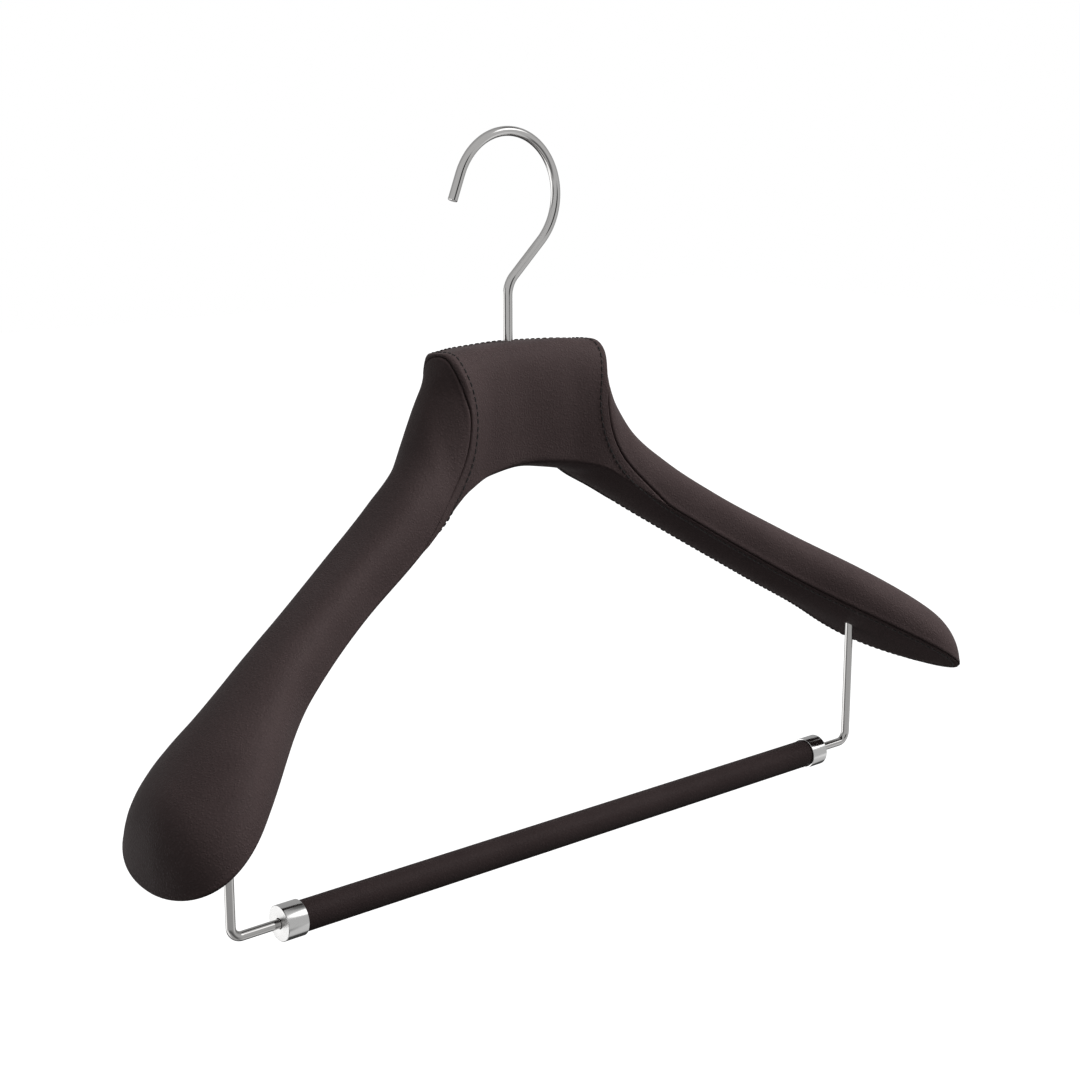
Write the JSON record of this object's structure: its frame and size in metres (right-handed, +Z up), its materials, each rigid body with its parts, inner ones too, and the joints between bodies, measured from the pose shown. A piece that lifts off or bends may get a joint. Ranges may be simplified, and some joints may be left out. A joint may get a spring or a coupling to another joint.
{
  "type": "suit hanger",
  "caption": "Broad-shouldered suit hanger: curved wooden arms in stitched leather, a swivelling wire hook and a rolling leather-covered trouser bar.",
  "frame": {"origin": "the point inside the hook's crook that rests on the wardrobe rail", "axes": "+X along the shoulders, +Z up, -Y towards the front, which the arms curve to"},
  "size_m": [0.45, 0.1155, 0.3184],
  "materials": {
    "hook_steel": "nickel-plated steel wire, polished with a slight haze",
    "rod_steel": "nickel-plated steel wire, polished with a slight haze",
    "ferrule_steel": "polished side with a finely blasted end face",
    "fastener_steel": "zinc-plated, as turned",
    "bush_brass": "as turned",
    "arm_wood": "bare sanded beech",
    "dowel_wood": "bare turned beech",
    "panel_leather": "dark brown, fine pebble grain with a satin sheen, tone-on-tone stitching",
    "bar_leather": "dark brown, fine grain with a satin sheen",
    "bush_nylon": "natural nylon"
  },
  "bodies": {
    "hook": {"hook": "hook_steel", "hook_washer": "fastener_steel", "hook_nut": "fastener_steel"},
    "hanger": {"neck_bush": "bush_brass", "core_left": "arm_wood", "core_right": "arm_wood", "dowel_upper": "dowel_wood", "dowel_lower": "dowel_wood", "outer_leather": "panel_leather", "inner_leather": "panel_leather", "rod_left": "rod_steel", "rod_right": "rod_steel"},
    "bar": {"bar_core": "arm_wood", "bar_leather": "bar_leather", "ferrule_left": "ferrule_steel", "ferrule_right": "ferrule_steel", "bar_bush_left": "bush_nylon", "bar_bush_right": "bush_nylon"}
  },
  "joints": [
    {"name": "hook_swivel", "type": "hinge", "parent": "hook", "child": "hanger", "pos_m": [0, 0, -0.09215], "axis": [0, 0, 1], "continuous": true},
    {"name": "bar_roll", "type": "hinge", "parent": "hanger", "child": "bar", "pos_m": [0, -0.04994, -0.30655], "axis": [1, 0, 0], "continuous": true}
  ]
}
